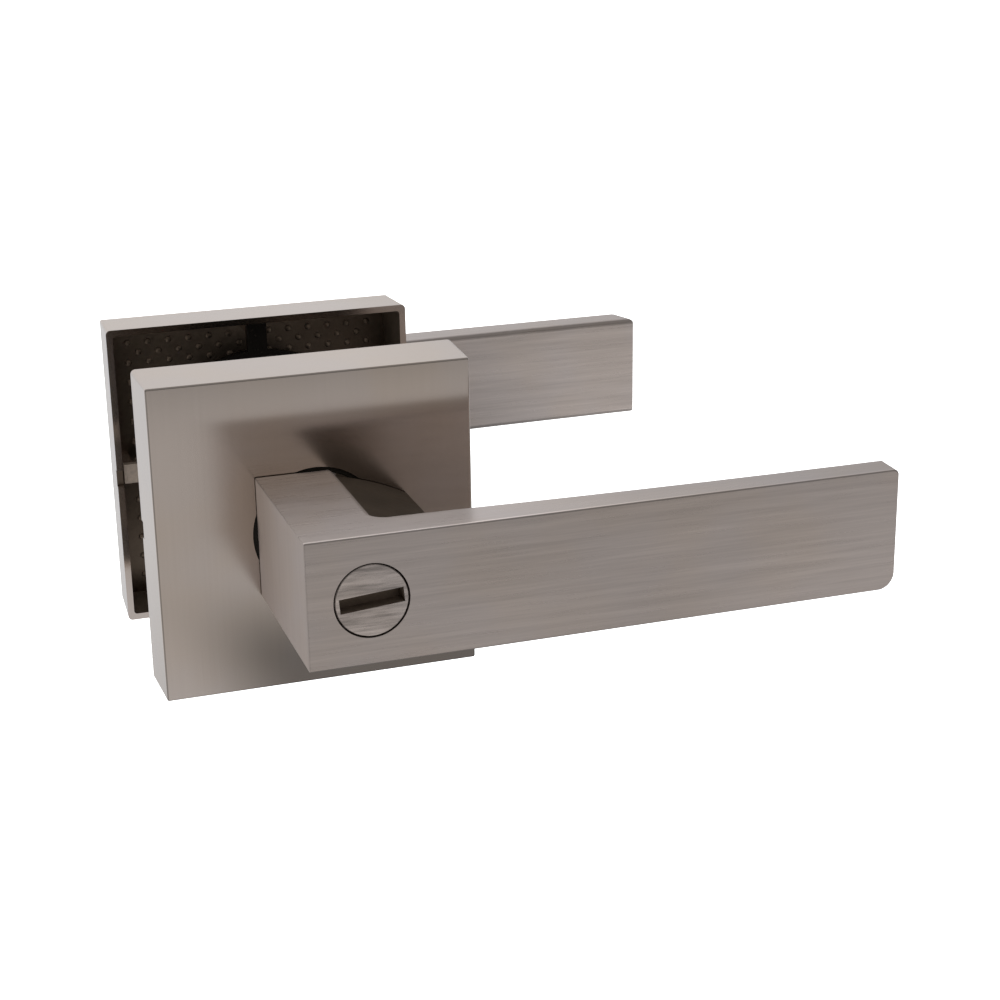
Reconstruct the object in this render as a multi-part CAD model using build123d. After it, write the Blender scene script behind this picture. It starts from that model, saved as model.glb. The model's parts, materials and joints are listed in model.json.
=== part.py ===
from build123d import *
import os

# A privacy lever set for a door: an outside half and an inside half on one square spindle.
#
# Frame: the origin is on the spindle's axis, half way through the door. +X runs along the levers,
# -Y is the outside half, +Y is the inside half and +Z is up. Every length is in millimetres.
# A "depth" is a distance from the door's middle plane. All shapes are made in the outside half,
# where depth runs along -Y; the inside half is the same shapes turned half a turn about the X axis.
# Names that end in NEAR and FAR are the depths where a piece starts and ends.

CUT_PAST = 1.0  # how far a cutting shape runs past the surface that it opens

# Door
DOOR_THICKNESS = 35.0
RIM = DOOR_THICKNESS / 2

# Square rosette: a cast shell, open at the door, with a little draft
ROSETTE_RIM = 67.4
ROSETTE_HEIGHT = 14.0
ROSETTE_FACE = RIM + ROSETTE_HEIGHT
ROSETTE_WALL = 1.4
ROSETTE_FLOOR = ROSETTE_FACE - ROSETTE_WALL
ROSETTE_DRAFT = 2.4
ROSETTE_CORNER = 1.0
HOLLOW_CORNER = 0.7
ROSETTE_EDGE = 0.4
ROSETTE_HOLE = 13.5
NOTCH_WIDTH = 3.8
NOTCH_HEIGHT = 1.3

# Nylon liner in the rosette's hole
LINER_FLANGE = 15.2
LINER_RADIUS = 13.45
LINER_BORE = 12.5
LINER_SHEET = 0.5
LINER_FAR = ROSETTE_FACE - 0.3

# Mounting plate, held by four tabs on four ledges inside the rosette
PLATE_NEAR = 20.6
PLATE_FAR = 22.2
PLATE_RADIUS = 25.5
TAB_WIDTH = 4.4
TAB_REACH = 31.7
LEDGE_REACH = 29.4
LEDGE_ROOT = 32.6
WINDOW_RADIUS = 20.5
WINDOW_LENGTH = 9.0
WINDOW_WIDTH = 3.2

# Lever: a straight square-edged blade on a deep neck
LEVER_FACE = ROSETTE_FACE + 42.0
NECK_BASE = ROSETTE_FACE + 0.45
LEVER_TIP = 109.6
LEVER_HEIGHT = 25.5
NECK_LEFT = -12.5
NECK_RIGHT = 3.5
INNER_CORNER = 3.0
TIP_THICKNESS = 7.5
BLADE_BULGE = 0.5
ROOT_X = 22.0
ROOT_THICKNESS = 9.5
HEEL_THICKNESS = 10.0
SHOULDER_X = 19.2
SHOULDER_Z = 5.7
SHOULDER_TOP = 11.5
SHOULDER_BULGE = 0.6
SHOULDER_SINK = 3.0
CRISP_EDGE = 0.35
SOFT_EDGE = 1.3
LOW_TIP_CORNER = 3.6
HIGH_TIP_CORNER = 1.2
BACK_TIP_CORNER = 0.6
SPIGOT_RADIUS = 12.4
SPIGOT_NEAR = ROSETTE_FLOOR - 0.4

# Hub, which joins the lever to the spindle
NOSE_RADIUS = 8.4
NOSE_BORE = 8.45
NOSE_END = 46.0
COLLAR_RADIUS = 11.2
COLLAR_NEAR = PLATE_FAR + 0.25
COLLAR_FAR = 28.9
CATCH_WIDTH = 1.8
CATCH_DEPTH = 1.0
JOURNAL_RADIUS = 10.0
JOURNAL_NEAR = 17.9

# Bearing of the hub in the mounting plate
BUSH_NEAR = 20.0
BUSH_BORE = 10.06
BUSH_RADIUS = 11.6
BUSH_FLANGE = 13.2
WASHER_NEAR = 19.4
WASHER_BORE = 10.08
WASHER_RADIUS = 12.8

# Snap ring in the hub's groove
RING_NEAR = 18.6
RING_THICKNESS = 0.75
RING_BORE = 9.32
RING_RADIUS = 11.6
RING_GAP = 3.0
GROOVE_RADIUS = 9.3
GROOVE_PLAY = 0.05
LUG_REACH = 11.9
LUG_RADIUS = 1.3
LUG_HOLE = 0.6
LUG_SPREAD = 14.0

# Spindle and locking bar
SPINDLE_SIDE = 8.0
SPINDLE_CORNER = 0.5
SPINDLE_HOLE = 8.12
SPINDLE_HALF = 39.5
SPINDLE_BORE = 2.5
BAR_WIDTH = 4.2
BAR_THICKNESS = 1.6
BAR_HALF = 66.0
BAR_PLAY = 0.16
END_PLAY = 0.5

# Release disc in the outside lever and thumb turn in the inside lever
DISC_RADIUS = 7.1
DISC_EDGE = 0.15
DISC_POCKET = 7.4
DISC_NEAR = LEVER_FACE - 4.0
POCKET_FLOOR = DISC_NEAR - 0.5
STEM_RADIUS = 4.0
STEM_BORE = 4.08
STEM_NEAR = 56.5
STEM_SHELF = 59.8
SLOT_LENGTH = 12.5
SLOT_WIDTH = 2.9
SLOT_DEPTH = 3.2
SLOT_TILT = 4.6
THUMB_LENGTH = 12.4
THUMB_WIDTH = 3.6
THUMB_HEIGHT = 7.0
THUMB_EDGE = 1.0

# Clip and friction washer on a stem
CLIP_NEAR = 58.9
CLIP_THICKNESS = 0.7
CLIP_RADIUS = 6.2
CLIP_BORE = 3.22
CLIP_MOUTH = 4.6
CLIP_NOTCH = 0.9
CLIP_NOTCH_REACH = 4.1
STEM_GROOVE = 3.2
STEM_WASHER_RADIUS = 6.55
STEM_WASHER_BORE = 4.2
STEM_WASHER_FAR = DISC_NEAR - 0.02

# Return spring
SPRING_RADIUS = 12.9
WIRE_RADIUS = 0.65
SPRING_TURNS = 3.25
SPRING_PITCH = 1.45
SPRING_NEAR = 23.2
SPRING_FAR = SPRING_NEAR + SPRING_TURNS * SPRING_PITCH
INNER_LEG = 2.2
OUTER_LEG = 4.4

# Spring cover
COVER_RADIUS = 15.0
COVER_SHEET = 0.8
COVER_FAR = 29.6
COVER_HOLE = 11.8
EAR_Z = 18.6
EAR_WIDTH = 6.4
EAR_HOLE = 1.6
LEG_SLOT_LENGTH = 3.0
LEG_SLOT_WIDTH = 2.1
LEG_SLOT_NEAR = SPRING_FAR - 1.1

# Through bolts, from the inside half into the posts of the outside half
BOLT_X = 19.0
BOLT_RADIUS = 1.95
BOLT_HOLE = 2.3
BOLT_END = -12.0
BOLT_HEAD = 3.4
BOLT_HEAD_HEIGHT = 2.4
BOLT_HEAD_EDGE = 0.9
BOLT_CROSS_LENGTH = 3.6
BOLT_CROSS_WIDTH = 0.9
BOLT_CROSS_DEPTH = 1.3
BOLT_WASHER_RADIUS = 3.7
BOLT_WASHER_BORE = 2.1
BOLT_SEAT = PLATE_FAR + 0.5

# Posts, riveted into the outside plate
POST_RADIUS = 3.3
POST_EDGE = 0.4
POST_END = -5.0
POST_BORE = 2.0
POST_BORE_FAR = 15.0
RIVET_HOLE = 2.2
RIVET_SHANK = 2.18
RIVET_HEAD = 3.1
RIVET_FAR = PLATE_FAR + 0.8

# Screws that hold the spring cover on the plate
SCREW_RADIUS = 1.45
SCREW_HOLE = 1.5
SCREW_NEAR = PLATE_NEAR - 1.0
SCREW_SEAT = PLATE_FAR + COVER_SHEET
SCREW_HEAD = 2.6
SCREW_HEAD_HEIGHT = 1.7
SCREW_HEAD_EDGE = 0.7
SCREW_CROSS_LENGTH = 2.8
SCREW_CROSS_WIDTH = 0.7
SCREW_CROSS_DEPTH = 0.9

# Set screws, up through the neck's underside against the hub's nose
SET_SCREW_DEPTH = 40.0
SET_SCREW_RADIUS = 2.45
SET_SCREW_HOLE = 2.5
SET_SCREW_TOP = -NOSE_RADIUS - 0.03
SET_SCREW_LENGTH = 3.85
SET_SCREW_POINT = 0.6
SOCKET_RADIUS = 1.25
SOCKET_DEPTH = 2.2


def slab(sketch, near, far):
    """A sketch drawn in X and Z, thickened from one depth to another in the outside half."""
    return extrude(Plane.XZ.offset(near) * sketch, far - near)


def rod(radius, near, far, x=0.0, z=0.0):
    return slab(Pos(x, z) * Circle(radius), near, far)


def ring(radius, bore, near, far, x=0.0):
    return slab(Pos(x, 0) * (Circle(radius) - Circle(bore)), near, far)


def bar(width, height, near, far, x=0.0, z=0.0, turn=0.0):
    return slab(Pos(x, z) * Rot(0, 0, turn) * Rectangle(width, height), near, far)


def inside(shape):
    """The same shape in the inside half: half a turn about the X axis."""
    return Rot(180, 0, 0) * shape


def edges_on(shape, test):
    """The shape's edges whose middle point passes a test of x, depth and z."""
    return shape.edges().filter_by(lambda e: test(e.center().X, -e.center().Y, e.center().Z))


def outer_edges(shape):
    """The edges of a shape's farthest face from the door."""
    return shape.faces().sort_by(Axis.Y)[0].edges()


def rosette():
    """Square cast cover with a round hole, four inner ledges for the plate and a prying notch."""
    inner_side = ROSETTE_RIM - 2 * ROSETTE_WALL
    side = RectangleRounded(ROSETTE_RIM, ROSETTE_RIM, ROSETTE_CORNER)
    hollow_side = RectangleRounded(inner_side, inner_side, HOLLOW_CORNER)
    shell = extrude(Plane.XZ.offset(RIM) * side, ROSETTE_HEIGHT, taper=ROSETTE_DRAFT)
    shell = fillet(outer_edges(shell), ROSETTE_EDGE)
    hollow_height = ROSETTE_HEIGHT - ROSETTE_WALL
    shell -= extrude(Plane.XZ.offset(RIM) * hollow_side, hollow_height, taper=ROSETTE_DRAFT)
    shell -= rod(ROSETTE_HOLE, RIM, ROSETTE_FACE + CUT_PAST)
    ledge_x = (LEDGE_ROOT + LEDGE_REACH) / 2
    ledge_far = ROSETTE_FLOOR + ROSETTE_WALL / 2
    ledge = bar(LEDGE_ROOT - LEDGE_REACH, TAB_WIDTH, PLATE_FAR, ledge_far, x=ledge_x)
    for quarter in range(4):
        shell += ledge.rotate(Axis.Y, 90 * quarter)
    notch_x = (ROSETTE_WALL - ROSETTE_RIM) / 2
    return shell - bar(2 * ROSETTE_WALL, NOTCH_WIDTH, RIM - CUT_PAST, RIM + NOTCH_HEIGHT, x=notch_x)


def rosette_liner():
    """Nylon ring in the rosette's hole that guides the lever's spigot."""
    flange = ring(LINER_FLANGE, LINER_BORE, ROSETTE_FLOOR - LINER_SHEET, ROSETTE_FLOOR)
    return flange + ring(LINER_RADIUS, LINER_BORE, ROSETTE_FLOOR, LINER_FAR)


def mounting_plate(bolt_hole):
    """Round steel plate with four tabs, a bush hole, bolt holes, screw holes and four windows."""
    sheet = Circle(PLATE_RADIUS)
    sheet += Rectangle(2 * TAB_REACH, TAB_WIDTH)
    sheet += Rectangle(TAB_WIDTH, 2 * TAB_REACH)
    sheet -= Circle(BUSH_RADIUS)
    for side in (-1, 1):
        sheet -= Pos(side * BOLT_X, 0) * Circle(bolt_hole)
        sheet -= Pos(0, side * EAR_Z) * Circle(SCREW_HOLE)
    window = SlotOverall(WINDOW_LENGTH, WINDOW_WIDTH, rotation=90)
    for quarter in range(4):
        sheet -= Rot(0, 0, 45 + 90 * quarter) * Pos(WINDOW_RADIUS, 0) * window
    return slab(sheet, PLATE_NEAR, PLATE_FAR)


def hub_bush():
    """Flanged nylon bearing pressed into the mounting plate."""
    flange = ring(BUSH_FLANGE, BUSH_BORE, BUSH_NEAR, PLATE_NEAR)
    return flange + ring(BUSH_RADIUS, BUSH_BORE, PLATE_NEAR, PLATE_FAR)


def thrust_washer():
    return ring(WASHER_RADIUS, WASHER_BORE, WASHER_NEAR, BUSH_NEAR)


def retaining_ring():
    """Snap ring in the hub's groove, open at one side, with two lugs."""
    sheet = Circle(RING_RADIUS) - Circle(RING_BORE)
    for side in (-1, 1):
        lug = Circle(LUG_RADIUS) - Circle(LUG_HOLE)
        sheet += Rot(0, 0, 90 + side * LUG_SPREAD) * Pos(LUG_REACH, 0) * lug
    sheet -= Pos(0, RING_RADIUS) * Rectangle(RING_GAP, RING_RADIUS)
    return slab(sheet, RING_NEAR, RING_NEAR + RING_THICKNESS)


def hub():
    """Steel drive hub: journal, spring collar and nose, with a square hole for the spindle."""
    body = rod(JOURNAL_RADIUS, JOURNAL_NEAR, COLLAR_NEAR)
    body += rod(COLLAR_RADIUS, COLLAR_NEAR, COLLAR_FAR)
    body += rod(NOSE_RADIUS, COLLAR_FAR, NOSE_END)
    groove_near = RING_NEAR - GROOVE_PLAY
    body -= ring(JOURNAL_RADIUS + CUT_PAST, GROOVE_RADIUS, groove_near, RING_NEAR + RING_THICKNESS)
    body -= bar(SPINDLE_HOLE, SPINDLE_HOLE, JOURNAL_NEAR - CUT_PAST, SPINDLE_HALF + END_PLAY)
    body -= rod(SPINDLE_BORE, SPINDLE_HALF, NOSE_END + CUT_PAST)
    return body - bar(CATCH_WIDTH, 2 * CATCH_DEPTH, COLLAR_NEAR, COLLAR_FAR, z=-COLLAR_RADIUS)


def return_spring():
    """Torsion spring round the hub's collar: one leg in the hub, the other out through the cover."""
    centre = (0, -SPRING_NEAR, 0)
    height = SPRING_TURNS * SPRING_PITCH
    coil = Helix(SPRING_PITCH, height, SPRING_RADIUS, center=centre, direction=(0, -1, 0))
    start = coil @ 0
    end = coil @ 1
    wire = Circle(WIRE_RADIUS)
    spring = sweep(Plane(origin=start, z_dir=coil % 0) * wire, path=coil)
    spring += extrude(Plane(origin=start, z_dir=(-start.X, 0, -start.Z)) * wire, INNER_LEG)
    return spring + extrude(Plane(origin=end, z_dir=(end.X, 0, end.Z)) * wire, OUTER_LEG)


def spring_cover():
    """Drawn steel cup over the spring, with two screw ears and a slot for the spring's outer leg."""
    inner_radius = COVER_RADIUS - COVER_SHEET
    cup = rod(COVER_RADIUS, PLATE_FAR, COVER_FAR)
    cup = fillet(outer_edges(cup), COVER_SHEET)
    cup -= rod(inner_radius, PLATE_FAR, COVER_FAR - COVER_SHEET)
    ears = SlotOverall(2 * EAR_Z + EAR_WIDTH, EAR_WIDTH, rotation=90)
    ears -= Circle(inner_radius)
    for side in (-1, 1):
        ears -= Pos(0, side * EAR_Z) * Circle(EAR_HOLE)
    cup += slab(ears, PLATE_FAR, PLATE_FAR + COVER_SHEET)
    cup -= rod(COVER_HOLE, PLATE_FAR, COVER_FAR + CUT_PAST)
    far = COVER_FAR + CUT_PAST
    return cup - bar(LEG_SLOT_LENGTH, LEG_SLOT_WIDTH, LEG_SLOT_NEAR, far, x=COVER_RADIUS)


def cover_screws():
    """Two small pan head screws through the cover's ears into the plate."""
    top = SCREW_SEAT + SCREW_HEAD_HEIGHT
    screws = []
    for side in (-1, 1):
        z = side * EAR_Z
        head = rod(SCREW_HEAD, SCREW_SEAT, top, z=z)
        head = fillet(outer_edges(head), SCREW_HEAD_EDGE)
        for turn in (0, 90):
            head -= bar(SCREW_CROSS_LENGTH, SCREW_CROSS_WIDTH, top - SCREW_CROSS_DEPTH,
                        top + CUT_PAST, z=z, turn=turn)
        screws.append(head + rod(SCREW_RADIUS, SCREW_NEAR, SCREW_SEAT, z=z))
    return Compound(children=screws)


def blade_outline():
    """Plan of the lever: the straight face, the square tip, a slowly thickening back, the neck."""
    tip_back = TIP_THICKNESS - LEVER_FACE
    root_back = ROOT_THICKNESS - LEVER_FACE
    heel_back = HEEL_THICKNESS - LEVER_FACE
    heel_x = NECK_RIGHT + INNER_CORNER
    neck_corner = heel_back + INNER_CORNER
    arc_inset = INNER_CORNER * (1 - 0.5 ** 0.5)
    arc_middle = (NECK_RIGHT + arc_inset, heel_back + arc_inset)
    back_points = [
        (LEVER_TIP, tip_back),
        ((ROOT_X + LEVER_TIP) / 2, (tip_back + root_back) / 2 - BLADE_BULGE),
        (ROOT_X, root_back),
        (heel_x, heel_back),
    ]
    return make_face([
        Polyline((NECK_LEFT, -NECK_BASE), (NECK_LEFT, -LEVER_FACE),
                 (LEVER_TIP, -LEVER_FACE), (LEVER_TIP, tip_back)),
        Spline(back_points, tangents=((-1, 0), (-1, 0))),
        ThreePointArc((heel_x, heel_back), arc_middle, (NECK_RIGHT, neck_corner)),
        Polyline((NECK_RIGHT, neck_corner), (NECK_RIGHT, -NECK_BASE), (NECK_LEFT, -NECK_BASE)),
    ])


def neck_shoulder():
    """Low rounded rib on the neck's blade side, from the rosette to the back of the blade."""
    start = NECK_RIGHT - CUT_PAST
    middle_x = (NECK_RIGHT + SHOULDER_X) / 2
    middle_z = (SHOULDER_TOP + SHOULDER_Z) / 2 + SHOULDER_BULGE
    profile = make_face([
        ThreePointArc((start, SHOULDER_TOP), (middle_x, middle_z), (SHOULDER_X, SHOULDER_Z)),
        Line((SHOULDER_X, SHOULDER_Z), (SHOULDER_X, -SHOULDER_Z)),
        ThreePointArc((SHOULDER_X, -SHOULDER_Z), (middle_x, -middle_z), (start, -SHOULDER_TOP)),
        Line((start, -SHOULDER_TOP), (start, SHOULDER_TOP)),
    ])
    rib = slab(profile, NECK_BASE, LEVER_FACE - HEEL_THICKNESS + SHOULDER_SINK)
    corners = edges_on(rib, lambda x, depth, z: x > SHOULDER_X - SOFT_EDGE and abs(z) > SOFT_EDGE)
    return fillet(corners.filter_by(Axis.Y), SOFT_EDGE)


def is_soft_edge(x, depth, z):
    """True on the long edges that face the door, on the neck's right side and the blade's back."""
    blade_back = LEVER_FACE - TIP_THICKNESS
    faces_door = NECK_RIGHT - 0.1 < x < LEVER_TIP - 0.1 and NECK_BASE + 1 < depth < blade_back + 0.2
    return faces_door and abs(z) > LEVER_HEIGHT / 2 - 0.1


def tip_section(depth, low_corner, high_corner):
    """The last part of the blade seen from its face, with both corners of the tip rounded."""
    length = 2 * LOW_TIP_CORNER
    sheet = Pos(LEVER_TIP - length / 2, 0) * Rectangle(length, LEVER_HEIGHT)
    sheet = fillet(sheet.vertices().sort_by(Axis.X)[-2:].sort_by(Axis.Y)[0], low_corner)
    sheet = fillet(sheet.vertices().sort_by(Axis.X)[-2:].sort_by(Axis.Y)[-1], high_corner)
    return Plane.XZ.offset(depth) * sheet


def tip_waste():
    """What is cut off the tip's corners, more at the lever's face than at the blade's back."""
    back = LEVER_FACE - TIP_THICKNESS - SOFT_EDGE
    near = tip_section(back, BACK_TIP_CORNER, BACK_TIP_CORNER)
    far = tip_section(LEVER_FACE, LOW_TIP_CORNER, HIGH_TIP_CORNER)
    length = 2 * LOW_TIP_CORNER
    block = bar(length, LEVER_HEIGHT, back, LEVER_FACE, x=LEVER_TIP - length / 2)
    return block - loft([near, far], ruled=True)


def lever_casting():
    """Lever of either half: blade, neck, shoulder, spigot and the stepped bore along the spindle."""
    body = extrude(Pos(0, 0, -LEVER_HEIGHT / 2) * blade_outline(), LEVER_HEIGHT, dir=(0, 0, 1))
    body = fillet(edges_on(body, is_soft_edge), SOFT_EDGE)
    body -= tip_waste()
    neck_edges = edges_on(body, lambda x, depth, z: x < NECK_LEFT + 0.1 and depth < LEVER_FACE - 1)
    body = fillet(outer_edges(body) + neck_edges.filter_by(Axis.Y), CRISP_EDGE)
    body += neck_shoulder()
    body += rod(SPIGOT_RADIUS, SPIGOT_NEAR, NECK_BASE)
    body -= rod(NOSE_BORE, SPIGOT_NEAR - CUT_PAST, STEM_SHELF)
    body -= rod(STEM_BORE, STEM_SHELF, POCKET_FLOOR)
    return body - rod(DISC_POCKET, POCKET_FLOOR, LEVER_FACE + CUT_PAST)


def hanging_rod(radius, length):
    """A vertical rod with its top at the origin."""
    return Cylinder(radius, length, align=(Align.CENTER, Align.CENTER, Align.MAX))


def set_screw_hole(y):
    """Threaded hole up through the neck's underside into the nose's bore."""
    return Pos(0, y, CUT_PAST - NOSE_RADIUS) * hanging_rod(SET_SCREW_HOLE, LEVER_HEIGHT / 2)


def set_screw(y):
    """Grub screw with a hex socket, from the neck's underside against the hub's nose."""
    screw = hanging_rod(SET_SCREW_RADIUS, SET_SCREW_LENGTH)
    screw = chamfer(screw.edges().sort_by(Axis.Z)[-1], SET_SCREW_POINT)
    socket = extrude(RegularPolygon(SOCKET_RADIUS, 6, major_radius=False), SOCKET_DEPTH)
    return Pos(0, y, SET_SCREW_TOP) * (screw - Pos(0, 0, -SET_SCREW_LENGTH) * socket)


def spindle():
    """Square bar through the door and both hubs, bored for the locking bar."""
    body = bar(SPINDLE_SIDE, SPINDLE_SIDE, -SPINDLE_HALF, SPINDLE_HALF)
    body = chamfer(body.edges().filter_by(Axis.Y), SPINDLE_CORNER)
    return body - rod(SPINDLE_BORE, -SPINDLE_HALF - CUT_PAST, SPINDLE_HALF + CUT_PAST)


def locking_bar():
    """Flat bar through the spindle that turns the release disc and the thumb turn together."""
    return bar(BAR_WIDTH, BAR_THICKNESS, -BAR_HALF, BAR_HALF)


def stem():
    """Shaft behind the release disc or thumb turn: a slot for the locking bar, a clip groove."""
    body = rod(STEM_RADIUS, STEM_NEAR, DISC_NEAR)
    groove_far = CLIP_NEAR + CLIP_THICKNESS + GROOVE_PLAY
    body -= ring(STEM_RADIUS + CUT_PAST, STEM_GROOVE, CLIP_NEAR, groove_far)
    slot_far = BAR_HALF + END_PLAY
    return body - bar(BAR_WIDTH + BAR_PLAY, BAR_THICKNESS + BAR_PLAY, STEM_NEAR - CUT_PAST, slot_far)


def flush_disc():
    """The round head that lies flush in the lever's face, on its stem."""
    disc = rod(DISC_RADIUS, DISC_NEAR, LEVER_FACE)
    return chamfer(outer_edges(disc), DISC_EDGE) + stem()


def release_disc():
    """Flush disc with a coin slot, for opening the door from outside in an emergency."""
    slot_near = LEVER_FACE - SLOT_DEPTH
    slot = bar(SLOT_LENGTH, SLOT_WIDTH, slot_near, LEVER_FACE + CUT_PAST, turn=SLOT_TILT)
    return flush_disc() - slot


def thumb_turn():
    """Disc like the release disc, with a raised rounded grip instead of the slot."""
    outline = SlotOverall(THUMB_LENGTH, THUMB_WIDTH)
    grip = slab(outline, LEVER_FACE - CUT_PAST, LEVER_FACE + THUMB_HEIGHT)
    return flush_disc() + fillet(outer_edges(grip), THUMB_EDGE)


def stem_clip():
    """E-shaped clip that holds a stem behind the lever's inner shelf."""
    sheet = Circle(CLIP_RADIUS) - Circle(CLIP_BORE)
    sheet -= Pos(0, CLIP_RADIUS / 2) * Rectangle(CLIP_MOUTH, CLIP_RADIUS + CUT_PAST)
    for turn in (30, 150, 270):
        sheet -= Rot(0, 0, turn) * Pos(CLIP_NOTCH_REACH, 0) * Circle(CLIP_NOTCH)
    return slab(sheet, CLIP_NEAR, CLIP_NEAR + CLIP_THICKNESS)


def stem_washer():
    """Friction washer under the head of a stem, which keeps it where it is turned."""
    return ring(STEM_WASHER_RADIUS, STEM_WASHER_BORE, POCKET_FLOOR, STEM_WASHER_FAR)


def bolt_posts():
    """Two threaded posts riveted into the outside plate."""
    posts = []
    for x in (-BOLT_X, BOLT_X):
        post = rod(POST_RADIUS, POST_END, PLATE_NEAR, x=x)
        post = chamfer(post.faces().sort_by(Axis.Y)[-1].edges(), POST_EDGE)
        post += rod(RIVET_SHANK, PLATE_NEAR, PLATE_FAR, x=x)
        post += rod(RIVET_HEAD, PLATE_FAR, RIVET_FAR, x=x)
        posts.append(post - rod(POST_BORE, POST_END - CUT_PAST, POST_BORE_FAR, x=x))
    return Compound(children=posts)


def bolt_washers():
    washers = []
    for x in (-BOLT_X, BOLT_X):
        washers.append(ring(BOLT_WASHER_RADIUS, BOLT_WASHER_BORE, PLATE_FAR, BOLT_SEAT, x=x))
    return Compound(children=washers)


def through_bolts():
    """Two cross-head machine screws from the inside plate into the posts."""
    top = BOLT_SEAT + BOLT_HEAD_HEIGHT
    bolts = []
    for x in (-BOLT_X, BOLT_X):
        head = rod(BOLT_HEAD, BOLT_SEAT, top, x=x)
        head = fillet(outer_edges(head), BOLT_HEAD_EDGE)
        for turn in (0, 90):
            head -= bar(BOLT_CROSS_LENGTH, BOLT_CROSS_WIDTH, top - BOLT_CROSS_DEPTH,
                        top + CUT_PAST, x=x, turn=turn)
        bolts.append(head + rod(BOLT_RADIUS, BOLT_END, BOLT_SEAT, x=x))
    return Compound(children=bolts)


def write(node, shape):
    export_step(shape, f"parts/{node}.step")


os.makedirs("parts", exist_ok=True)

# Pieces that both halves have alike
PAIRED = {
    "rosette": rosette(),
    "rosette_liner": rosette_liner(),
    "hub": hub(),
    "hub_bush": hub_bush(),
    "thrust_washer": thrust_washer(),
    "retaining_ring": retaining_ring(),
    "return_spring": return_spring(),
    "spring_cover": spring_cover(),
    "cover_screws": cover_screws(),
}
for name, shape in PAIRED.items():
    write(f"outer_{name}", shape)
    write(f"inner_{name}", inside(shape))

lever = lever_casting()
write("outer_lever", lever - set_screw_hole(-SET_SCREW_DEPTH))
write("inner_lever", inside(lever) - set_screw_hole(SET_SCREW_DEPTH))
write("outer_set_screw", set_screw(-SET_SCREW_DEPTH))
write("inner_set_screw", set_screw(SET_SCREW_DEPTH))

write("outer_mounting_plate", mounting_plate(RIVET_HOLE))
write("inner_mounting_plate", inside(mounting_plate(BOLT_HOLE)))
write("bolt_posts", bolt_posts())
write("through_bolts", inside(through_bolts()))
write("bolt_washers", inside(bolt_washers()))

write("spindle", spindle())
write("locking_bar", locking_bar())
write("release_disc", release_disc())
write("release_clip", stem_clip())
write("release_washer", stem_washer())
write("thumb_turn", inside(thumb_turn()))
write("thumb_turn_clip", inside(stem_clip()))
write("thumb_turn_washer", inside(stem_washer()))
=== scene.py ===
import json
import math

import bmesh
import bpy
from mathutils import Matrix, Vector


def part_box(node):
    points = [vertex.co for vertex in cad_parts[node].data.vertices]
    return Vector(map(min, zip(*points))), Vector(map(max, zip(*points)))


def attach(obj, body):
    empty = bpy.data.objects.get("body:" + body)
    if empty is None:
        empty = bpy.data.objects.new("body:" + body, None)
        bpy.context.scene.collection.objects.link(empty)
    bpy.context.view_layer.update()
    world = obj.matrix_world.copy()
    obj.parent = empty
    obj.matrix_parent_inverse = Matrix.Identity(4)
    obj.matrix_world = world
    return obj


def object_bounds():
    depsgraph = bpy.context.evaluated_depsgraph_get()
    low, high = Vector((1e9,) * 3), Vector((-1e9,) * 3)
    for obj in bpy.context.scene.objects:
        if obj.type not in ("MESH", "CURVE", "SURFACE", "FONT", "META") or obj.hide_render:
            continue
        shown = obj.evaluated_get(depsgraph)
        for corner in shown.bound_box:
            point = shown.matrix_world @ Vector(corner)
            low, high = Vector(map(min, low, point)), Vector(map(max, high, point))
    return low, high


# The looks of a privacy door lever set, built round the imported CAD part. Lengths are in metres, in
# the part's own frame: +X runs along the levers, -Y is the outside half, +Y the inside half, +Z up.

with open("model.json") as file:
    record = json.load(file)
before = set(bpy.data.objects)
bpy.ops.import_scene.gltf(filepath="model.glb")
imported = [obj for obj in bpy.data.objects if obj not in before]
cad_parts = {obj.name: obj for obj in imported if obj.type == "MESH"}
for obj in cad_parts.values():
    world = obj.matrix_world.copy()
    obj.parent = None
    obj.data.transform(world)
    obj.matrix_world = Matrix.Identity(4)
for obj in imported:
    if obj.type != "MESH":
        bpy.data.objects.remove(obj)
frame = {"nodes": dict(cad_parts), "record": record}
cad_low, cad_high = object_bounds()
nodes = frame["nodes"]
scene = bpy.context.scene

MM = 0.001
X_AXIS = (1.0, 0.0, 0.0)
Z_AXIS = (0.0, 0.0, 1.0)

# Measures of the part that the finishes and the new pieces follow
LEVER_FACE = -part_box("outer_lever")[0].y / MM
HEEL_BACK = LEVER_FACE - 10.2
ROSETTE_WALL = 1.4 * MM
RIM_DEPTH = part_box("inner_rosette")[0].y
ROSETTE_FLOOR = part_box("inner_rosette")[1].y - ROSETTE_WALL
ROSETTE_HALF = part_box("inner_rosette")[1].x


# ---------------------------------------------------------------- node graphs

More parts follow.
